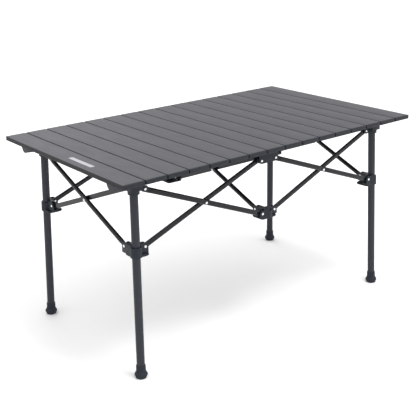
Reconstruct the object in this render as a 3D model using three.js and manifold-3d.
// Folding slat-top picnic table. Sixteen aluminium slats make a top that rolls up, and it rests on
// a scissor frame of four splayed legs, two middle hub pairs and seven crossed pairs of bars.
// Millimetres, +Z up. The origin is on the floor under the middle of the top, +X runs along the
// long side to the right, and +Y runs to the back. The table is the same turned half a turn about Z.

import * as THREE from "three";
import { mergeVertices } from "three/addons/utils/BufferGeometryUtils.js";
import Module from "manifold-3d";

const wasm = await Module();
wasm.setup();

// Driving dimensions: the top.
const LENGTH = 950;
const WIDTH = 560;
const HEIGHT = 512;
const SLAT_COUNT = 16;
const SLAT_GAP = 2;
const SLAT_THICKNESS = 10.6;
const SLAT_WALL = 1.2;
const SLAT_EDGE = 1.4;

// Driving dimensions: the legs.
const SPLAY = 1.75;
const TUBE_RADIUS = 10;
const TUBE_WALL = 1.2;
const TUBE_BOTTOM = 5;
const TUBE_TOP_COVER = 4;
const FIT = 0.3;
// The foot's outline, as radius and height, from the floor up to the top of its collar.
const FOOT_OUTLINE = [
  [13.2, -2], [13.4, 1], [16.2, 7], [16.2, 10], [13.4, 15], [12.4, 19], [12.2, 32], [11.7, 33],
];

// Driving dimensions: the scissors. An arm is half a bar, from its cross pivot to its end pivot.
const ARM = 192;
const PAIR = 141;
const TOP_PIVOT = 471;
const BAR_WIDTH = 13;
const BAR_THICKNESS = 7.8;
const RIVET_HOLE = 2.2;
const LAYER = 4.2;

// Driving dimensions: the hubs. A reach runs from a hub's axis to the pivot in its fork.
const CORNER_REACH = 24.5;
const SIDE_REACH = 33;
const MIDDLE_REACH = 24;
const CHEEK = 3;
const FORK_RADIUS = 8.5;
const FORK_ROOT = 10.2;
const SLEEVE_RADIUS = 14;
const SLEEVE_UP = 4;
const CORNER_SKIRT = { left: -12, right: 32, down: 14.5 };
const MIDDLE_SKIRT = { left: -26, right: 26, down: 10.5 };
const SKIRT_BACK = -12;
const SKIRT_FRONT = 32;
const SKIRT_CORNER = 9;
const SKIRT_THICKNESS = 6.5;
const SKIRT_ROUND = 2;
const COLLAR_DOWN = 10;
const BLOCK_OUT = 16;
const BLOCK_DOWN = 1;
const FACE_HALF = 31;
const FACE_DOWN = 8.5;

// Driving dimensions: the hooks under the first slat. A hook is deepest at its heel.
const HOOK_LENGTH = 70;
const HOOK_DEPTH = 16;
const HOOK_THICKNESS = 22;
const HOOK_HEEL = 15.4;
const HOOK_TIP = 1.5;
const HOOK_INSET = 5;
const HOOK_STARTS = [201, -203];

// Worked out from the driving dimensions.
const UNDERSIDE = HEIGHT - SLAT_THICKNESS;
const SLAT_WIDTH = (LENGTH - (SLAT_COUNT - 1) * SLAT_GAP) / SLAT_COUNT;
const SLAT_PITCH = SLAT_WIDTH + SLAT_GAP;
const SLOT = 2 * LAYER;
const LEAN = Math.tan(THREE.MathUtils.degToRad(SPLAY));
const PANEL_LEAN = Math.atan(LEAN / Math.hypot(1, LEAN));
const HALF_SPAN = Math.sqrt(ARM ** 2 - (PAIR / 2) ** 2);
const TOP_SHIFT = (PAIR / 2) * Math.sin(PANEL_LEAN);
const FOOT_X =
  TOP_PIVOT * Math.sin(PANEL_LEAN) + CORNER_REACH * Math.cos(PANEL_LEAN) +
  HALF_SPAN * (1 + Math.cos(PANEL_LEAN)) - TOP_SHIFT + MIDDLE_REACH;
const FOOT_Y =
  TOP_PIVOT * Math.sin(PANEL_LEAN) + SIDE_REACH * Math.cos(PANEL_LEAN) +
  HALF_SPAN * Math.cos(PANEL_LEAN) - TOP_SHIFT;
const MIDDLE_PIVOT =
  TOP_PIVOT * Math.cos(PANEL_LEAN) - CORNER_REACH * Math.sin(PANEL_LEAN) +
  (PAIR / 2) * (1 - Math.cos(PANEL_LEAN)) - HALF_SPAN * Math.sin(PANEL_LEAN);
const INWARD_REACH =
  Math.hypot(1, LEAN) * (FOOT_Y - HALF_SPAN * Math.cos(Math.atan(LEAN)) +
  (PAIR / 2) * Math.sin(Math.atan(LEAN))) - MIDDLE_PIVOT * LEAN;

const material = (color, roughness, metalness) =>
  new THREE.MeshStandardMaterial({ color, roughness, metalness });
const MATERIALS = {
  slat: material(0x6c6c73, 0.55, 0.6),
  tube: material(0x3f4349, 0.45, 0.6),
  bar: material(0x222429, 0.4, 0.7),
  plastic: material(0x282c33, 0.6, 0.0),
  rubber: material(0x24282f, 0.8, 0.0),
};

function addMesh(parent, name, geometry, finish) {
  const mesh = new THREE.Mesh(geometry, MATERIALS[finish]);
  mesh.name = name;
  parent.add(mesh);
  return mesh;
}

// Solids for the boolean steps.

function solidOf(geometry) {
  const plain = geometry.clone();
  plain.deleteAttribute("normal");
  plain.deleteAttribute("uv");
  const merged = mergeVertices(plain.index ? plain.toNonIndexed() : plain, 1e-4);
  return new wasm.Manifold(new wasm.Mesh({
    numProp: 3,
    vertProperties: new Float32Array(merged.attributes.position.array),
    triVerts: new Uint32Array(merged.index.array),
  }));
}

function geometryOf(solid) {
  const { vertProperties, triVerts } = solid.getMesh();
  const geometry = new THREE.BufferGeometry();
  geometry.setAttribute("position", new THREE.BufferAttribute(vertProperties, 3));
  geometry.setIndex(new THREE.BufferAttribute(triVerts, 1));
  geometry.computeVertexNormals();
  return geometry;
}

const union = (solids) => solids.reduce((sum, solid) => sum.add(solid));

function boxSolid([x0, x1], [y0, y1], [z0, z1]) {
  const box = new THREE.BoxGeometry(x1 - x0, y1 - y0, z1 - z0);
  return solidOf(box.translate((x0 + x1) / 2, (y0 + y1) / 2, (z0 + z1) / 2));
}

function cylinderSolid(radius, z0, z1, segments = 20) {
  const cylinder = new THREE.CylinderGeometry(radius, radius, z1 - z0, segments);
  return solidOf(cylinder.rotateX(Math.PI / 2).translate(0, 0, (z0 + z1) / 2));
}

function turned(profile, segments = 20) {
  const points = profile.map(([radius, z]) => new THREE.Vector2(radius, z));
  return new THREE.LatheGeometry(points, segments).rotateX(Math.PI / 2);
}

// A plate in the XZ plane, spread over the thickness from y0 to y1.
function plateSolid(shape, [y0, y1], curveSegments = 4) {
  const plate = new THREE.ExtrudeGeometry(shape, { depth: y1 - y0, bevelEnabled: false, curveSegments });
  return solidOf(plate.rotateX(Math.PI / 2).translate(0, y1, 0));
}

// Keeps what lies between two level planes, whatever the lean of the frame that holds the solid.
function trimLevel(solid, frame, low, high) {
  const slab = boxSolid([-2 * LENGTH, 2 * LENGTH], [-2 * LENGTH, 2 * LENGTH], [low, high]);
  return solid.intersect(slab.transform(frame.clone().invert().elements));
}

// Frames: each panel of bars and each leg has its own axes, which lean with the splay.

function frameOf(origin, yAxis, zAxis) {
  const y = new THREE.Vector3(...yAxis).normalize();
  const z = new THREE.Vector3(...zAxis).normalize();
  const x = new THREE.Vector3().crossVectors(y, z);
  return new THREE.Matrix4().makeBasis(x, y, z).setPosition(...origin);
}

function groupIn(parent, frame) {
  const group = new THREE.Group();
  frame.decompose(group.position, group.quaternion, group.scale);
  parent.add(group);
  return group;
}

// In a panel x runs to the right as seen from outside, y runs up the panel, and z points outward.
const FRONT_PANEL = frameOf([0, -FOOT_Y, 0], [0, LEAN, 1], [0, -1, LEAN]);
const SIDE_PANEL = frameOf([-FOOT_X, 0, 0], [LEAN, 0, 1], [-1, 0, LEAN]);
const MIDDLE_PANEL = frameOf([0, 0, 0], [0, 0, 1], [-1, 0, 0]);

// In a hub's frame z runs up its axis, and its forks point along +X, +Y and, at the middle, -X.
const LEFT_LEG = frameOf([-FOOT_X, -FOOT_Y, 0], [0, 1, -LEAN], [LEAN, LEAN, 1]);
const RIGHT_LEG = frameOf([FOOT_X, -FOOT_Y, 0], [-1, 0, -LEAN], [-LEAN, LEAN, 1]);
const MIDDLE_AXIS = frameOf([0, -FOOT_Y, 0], [0, 1, -LEAN], [0, LEAN, 1]);

// The top.

function slatGeometry() {
  const half = SLAT_WIDTH / 2;
  const outline = new THREE.Shape();
  outline.moveTo(-half + SLAT_EDGE, 0);
  outline.absarc(half - SLAT_EDGE, SLAT_EDGE, SLAT_EDGE, -Math.PI / 2, 0);
  outline.absarc(half - SLAT_EDGE, SLAT_THICKNESS - SLAT_EDGE, SLAT_EDGE, 0, Math.PI / 2);
  outline.absarc(-half + SLAT_EDGE, SLAT_THICKNESS - SLAT_EDGE, SLAT_EDGE, Math.PI / 2, Math.PI);
  outline.absarc(-half + SLAT_EDGE, SLAT_EDGE, SLAT_EDGE, Math.PI, 1.5 * Math.PI);
  const cell = new THREE.Path();
  cell.moveTo(-half + SLAT_WALL, SLAT_WALL);
  cell.lineTo(-half + SLAT_WALL, SLAT_THICKNESS - SLAT_WALL);
  cell.lineTo(half - SLAT_WALL, SLAT_THICKNESS - SLAT_WALL);
  cell.lineTo(half - SLAT_WALL, SLAT_WALL);
  outline.holes.push(cell);
  const options = { depth: WIDTH, bevelEnabled: false, curveSegments: 1 };
  return new THREE.ExtrudeGeometry(outline, options).rotateX(Math.PI / 2);
}

const slatX = (number) => -LENGTH / 2 + SLAT_WIDTH / 2 + (number - 1) * SLAT_PITCH;
const twoDigits = (number) => String(number).padStart(2, "0");

function addSlats(parent) {
  for (let number = 1; number <= SLAT_COUNT; number += 1) {
    const slat = addMesh(parent, `slat_${twoDigits(number)}`, slatGeometry(), "slat");
    slat.position.set(slatX(number), WIDTH / 2, UNDERSIDE);
  }
}

// A hook is a wedge that is deepest near its back end and runs out to nothing at its front end.
function addHooks(parent) {
  const outline = new THREE.Shape();
  outline.moveTo(0, 0);
  outline.lineTo(-HOOK_LENGTH, 0);
  outline.lineTo(-HOOK_LENGTH, -HOOK_TIP);
  outline.lineTo(-HOOK_HEEL, -HOOK_DEPTH);
  outline.quadraticCurveTo(-HOOK_HEEL / 4, -HOOK_DEPTH, 0, 0);
  HOOK_STARTS.forEach((start, index) => {
    const options = { depth: HOOK_THICKNESS, bevelEnabled: false, curveSegments: 4 };
    const geometry = new THREE.ExtrudeGeometry(outline, options);
    const hook = addMesh(parent, `${["back", "front"][index]}_hook`, geometry, "plastic");
    hook.rotation.set(Math.PI / 2, Math.PI / 2, 0);
    hook.position.set(-LENGTH / 2 + HOOK_INSET, start, UNDERSIDE - FIT);
  });
}

// The legs.

function tubeGeometry(top) {
  const wall = new THREE.Shape();
  wall.absarc(0, 0, TUBE_RADIUS, 0, 2 * Math.PI);
  const bore = new THREE.Path();
  bore.absarc(0, 0, TUBE_RADIUS - TUBE_WALL, 0, 2 * Math.PI, true);
  wall.holes.push(bore);
  const options = { depth: top - TUBE_BOTTOM, bevelEnabled: false, curveSegments: 10 };
  return new THREE.ExtrudeGeometry(wall, options).translate(0, 0, TUBE_BOTTOM);
}

// The foot is a socket with a thick flared base, cut level where it stands on the floor.
function footGeometry(frame) {
  const socket = TUBE_RADIUS + FIT;
  const [, base] = FOOT_OUTLINE[0];
  const [, top] = FOOT_OUTLINE.at(-1);
  const body = turned([
    [0, base], ...FOOT_OUTLINE, [socket, top], [socket, TUBE_BOTTOM - FIT], [0, TUBE_BOTTOM - FIT],
  ]);
  return geometryOf(trimLevel(solidOf(body), frame, 0, HEIGHT));
}

// The hubs. A fork reaches from the hub's axis along its own direction and is slotted for one bar.
// The slot lies beside the fork's middle plane: on the outer side at a top hub, and on the inner
// side at a slider, so the two bars of a scissor pass each other. A slider's fork stands on its skirt.

function forkSolid({ angle, reach }, side, foot) {
  const outline = new THREE.Shape();
  outline.moveTo(0, -foot);
  if (foot > FORK_RADIUS) {
    outline.lineTo(reach + FORK_RADIUS, -foot);
    outline.absarc(reach, 0, FORK_RADIUS, 0, Math.PI / 2);
  } else {
    outline.absarc(reach, 0, FORK_RADIUS, -Math.PI / 2, Math.PI / 2);
  }
  outline.lineTo(0, FORK_RADIUS);
  const middle = side * LAYER;
  const outside = SLOT / 2 + CHEEK;
  const block = plateSolid(outline, [middle - outside, middle + outside]);
  const slot = boxSolid(
    [reach - FORK_ROOT, reach + 2 * FORK_RADIUS],
    [middle - SLOT / 2, middle + SLOT / 2],
    [-FORK_ROOT, 2 * FORK_RADIUS],
  );
  return block.subtract(slot).rotate([0, 0, angle]);
}

const forkSolids = (forks, side, foot) => forks.map((fork) => forkSolid(fork, side, foot));

// A corner top hub: a collar round the tube, a block under the slats and two forks. The block is
// flush with the collar on the two sides that have forks.
function cornerTopGeometry(forks, frame, tubeTop) {
  const roof = HEIGHT - TOP_PIVOT;
  const across = [-BLOCK_OUT, SLEEVE_RADIUS];
  const body = union([
    cylinderSolid(SLEEVE_RADIUS, -COLLAR_DOWN, roof),
    boxSolid(across, across, [-BLOCK_DOWN, roof]),
    ...forkSolids(forks, -1, FORK_RADIUS),
  ]);
  const bore = cylinderSolid(TUBE_RADIUS + FIT, -2 * COLLAR_DOWN, tubeTop + FIT - TOP_PIVOT);
  const hub = body.subtract(bore).translate([0, 0, TOP_PIVOT]);
  return geometryOf(trimLevel(hub, frame, 0, UNDERSIDE - FIT));
}

// The middle top hub: a block with three forks behind a face plate with rounded lower corners.
function middleTopGeometry(forks, frame) {
  const roof = HEIGHT - MIDDLE_PIVOT;
  const front = -LAYER - SLOT / 2;
  const half = MIDDLE_REACH - FORK_ROOT;
  const face = new THREE.Shape();
  face.moveTo(-FACE_HALF, roof);
  face.lineTo(-FACE_HALF, 0);
  face.quadraticCurveTo(-FACE_HALF, -FACE_DOWN, FACE_DOWN - FACE_HALF, -FACE_DOWN);
  face.lineTo(FACE_HALF - FACE_DOWN, -FACE_DOWN);
  face.quadraticCurveTo(FACE_HALF, -FACE_DOWN, FACE_HALF, 0);
  face.lineTo(FACE_HALF, roof);
  const solid = union([
    boxSolid([-half, half], [front, SLEEVE_RADIUS], [-FACE_DOWN, roof]),
    boxSolid([-MIDDLE_REACH, 0], [front, 0], [-FACE_DOWN / 2, FORK_RADIUS]),
    plateSolid(face, [front - CHEEK, front]),
    ...forkSolids(forks, -1, FORK_RADIUS),
  ]);
  return geometryOf(trimLevel(solid.translate([0, 0, MIDDLE_PIVOT]), frame, 0, UNDERSIDE - FIT));
}

// The skirt under a slider's forks is a thick plate with round corners and a bevelled rim.
function skirtSolid({ left, right, down }) {
  const corner = SKIRT_CORNER;
  const outline = new THREE.Shape();
  outline.absarc(right - corner, SKIRT_FRONT - corner, corner, 0, Math.PI / 2);
  outline.absarc(left + corner, SKIRT_FRONT - corner, corner, Math.PI / 2, Math.PI);
  outline.absarc(left + corner, SKIRT_BACK + corner, corner, Math.PI, 1.5 * Math.PI);
  outline.absarc(right - corner, SKIRT_BACK + corner, corner, 1.5 * Math.PI, 2 * Math.PI);
  const plate = new THREE.ExtrudeGeometry(outline, {
    depth: SKIRT_THICKNESS - 2 * SKIRT_ROUND,
    bevelThickness: SKIRT_ROUND,
    bevelSize: SKIRT_ROUND,
    bevelOffset: -SKIRT_ROUND,
    bevelSegments: 1,
    curveSegments: 4,
  });
  return solidOf(plate.translate(0, 0, SKIRT_ROUND - SKIRT_THICKNESS - down));
}

// A slider: a sleeve with forks and a skirt. On a leg it is bored, and its fit is a sliding one.
function sliderGeometry(forks, isMiddle) {
  const skirt = isMiddle ? MIDDLE_SKIRT : CORNER_SKIRT;
  const sleeveDown = skirt.down + SKIRT_THICKNESS;
  const body = union([
    cylinderSolid(SLEEVE_RADIUS, -sleeveDown, SLEEVE_UP),
    skirtSolid(skirt),
    ...forkSolids(forks, 1, skirt.down + SKIRT_ROUND),
  ]);
  const pivot = (isMiddle ? MIDDLE_PIVOT : TOP_PIVOT) - PAIR;
  const bore = cylinderSolid(TUBE_RADIUS + FIT, -2 * sleeveDown, 2 * sleeveDown);
  const slider = isMiddle ? body : body.subtract(bore);
  return geometryOf(slider.translate([0, 0, pivot]));
}

function addLeg(parent, name, frame, forks) {
  const leg = groupIn(parent, frame);
  const tubeTop = UNDERSIDE - TUBE_TOP_COVER;
  addMesh(leg, `${name}_leg_tube`, tubeGeometry(tubeTop), "tube");
  addMesh(leg, `${name}_foot`, footGeometry(frame), "rubber");
  addMesh(leg, `${name}_top_hub`, cornerTopGeometry(forks, frame, tubeTop), "plastic");
  addMesh(leg, `${name}_slider`, sliderGeometry(forks, false), "plastic");
}

function addMiddleHubs(parent, name) {
  const axis = groupIn(parent, MIDDLE_AXIS);
  const forks = [
    { angle: 0, reach: MIDDLE_REACH },
    { angle: 180, reach: MIDDLE_REACH },
    { angle: 90, reach: INWARD_REACH },
  ];
  addMesh(axis, `${name}_middle_top_hub`, middleTopGeometry(forks, MIDDLE_AXIS), "plastic");
  addMesh(axis, `${name}_middle_slider`, sliderGeometry(forks, true), "plastic");
}

// The scissors. Each bar is straight, with its end holes and its cross hole on opposite sides of
// its middle line, because the two hub pairs that it joins lean towards each other.

function barGeometry(length, crossOffset) {
  const radius = BAR_WIDTH / 2;
  const middle = crossOffset / 2;
  const outline = new THREE.Shape();
  outline.moveTo(-length / 2, middle - radius);
  outline.absarc(length / 2, middle, radius, -Math.PI / 2, Math.PI / 2);
  outline.absarc(-length / 2, middle, radius, Math.PI / 2, 1.5 * Math.PI);
  for (const [x, y] of [[-length / 2, 0], [0, crossOffset], [length / 2, 0]]) {
    const hole = new THREE.Path();
    hole.absarc(x, y, RIVET_HOLE, 0, 2 * Math.PI, true);
    outline.holes.push(hole);
  }
  const options = { depth: BAR_THICKNESS, bevelEnabled: false, curveSegments: 4 };
  return new THREE.ExtrudeGeometry(outline, options).translate(0, 0, -BAR_THICKNESS / 2);
}

function addBar(panel, name, start, cross, end, layer) {
  const along = end.clone().sub(start);
  const offset = cross.clone().sub(start).cross(along) / along.length();
  const bar = addMesh(panel, name, barGeometry(along.length(), -offset), "bar");
  bar.position.set((start.x + end.x) / 2, (start.y + end.y) / 2, layer);
  bar.rotation.z = along.angle();
}

// The pivots of one scissor in its panel, from its left top pivot and the lean of each hub pair.
function scissorPivots(leftTop, leftLean, rightLean) {
  const polar = (angle, distance) =>
    new THREE.Vector2(Math.cos(angle) * distance, Math.sin(angle) * distance);
  const upLeft = polar(Math.PI / 2 - leftLean, PAIR / 2);
  const upRight = polar(Math.PI / 2 + rightLean, PAIR / 2);
  const leftMiddle = leftTop.clone().sub(upLeft);
  const cross = leftMiddle.clone().add(polar(-leftLean, HALF_SPAN));
  const rightMiddle = cross.clone().add(polar(rightLean, HALF_SPAN));
  return {
    leftTop,
    leftSlider: leftMiddle.clone().sub(upLeft),
    cross,
    rightTop: rightMiddle.clone().add(upRight),
    rightSlider: rightMiddle.clone().sub(upRight),
  };
}

// The falling bar runs outside the rising one, seen from outside the panel.
const addFallingBar = (panel, name, pivots) =>
  addBar(panel, `${name}_falling_bar`, pivots.leftTop, pivots.cross, pivots.rightSlider, LAYER);
const addRisingBar = (panel, name, pivots) =>
  addBar(panel, `${name}_rising_bar`, pivots.leftSlider, pivots.cross, pivots.rightTop, -LAYER);

function addHalfFrame(parent, { front, left, right }) {
  const legTop = (foot, reach) => new THREE.Vector2(
    -foot + TOP_PIVOT * Math.sin(PANEL_LEAN) + reach * Math.cos(PANEL_LEAN),
    TOP_PIVOT * Math.cos(PANEL_LEAN) - reach * Math.sin(PANEL_LEAN),
  );
  const frontPanel = groupIn(parent, FRONT_PANEL);
  const frontLeft = scissorPivots(legTop(FOOT_X, CORNER_REACH), PANEL_LEAN, 0);
  const middleTop = new THREE.Vector2(MIDDLE_REACH, MIDDLE_PIVOT);
  const frontRight = scissorPivots(middleTop, 0, PANEL_LEAN);
  addFallingBar(frontPanel, `${front}_${left}`, frontLeft);
  addRisingBar(frontPanel, `${front}_${left}`, frontLeft);
  addFallingBar(frontPanel, `${front}_${right}`, frontRight);
  addRisingBar(frontPanel, `${front}_${right}`, frontRight);

  const sidePanel = groupIn(parent, SIDE_PANEL);
  const side = scissorPivots(legTop(FOOT_Y, SIDE_REACH), PANEL_LEAN, PANEL_LEAN);
  addFallingBar(sidePanel, `${left}_side`, side);
  addRisingBar(sidePanel, `${left}_side`, side);

  const backTop = new THREE.Vector3(0, INWARD_REACH, MIDDLE_PIVOT).applyMatrix4(MIDDLE_AXIS);
  const middle = scissorPivots(new THREE.Vector2(backTop.y, backTop.z), Math.atan(LEAN), Math.atan(LEAN));
  addFallingBar(groupIn(parent, MIDDLE_PANEL), `middle_${left}`, middle);

  const corner = { angle: 0, reach: CORNER_REACH };
  const aside = { angle: 0, reach: SIDE_REACH };
  addLeg(parent, `${front}_${left}`, LEFT_LEG, [corner, { ...aside, angle: 90 }]);
  addLeg(parent, `${front}_${right}`, RIGHT_LEG, [aside, { ...corner, angle: 90 }]);
  addMiddleHubs(parent, front);
}

function addFrame(parent) {
  const halves = [
    { front: "front", left: "left", right: "right" },
    { front: "back", left: "right", right: "left" },
  ];
  halves.forEach((names, index) => {
    const half = new THREE.Group();
    half.rotation.z = index * Math.PI;
    parent.add(half);
    addHalfFrame(half, names);
  });
}

const table = new THREE.Group();
addSlats(table);
addHooks(table);
addFrame(table);

export default table;
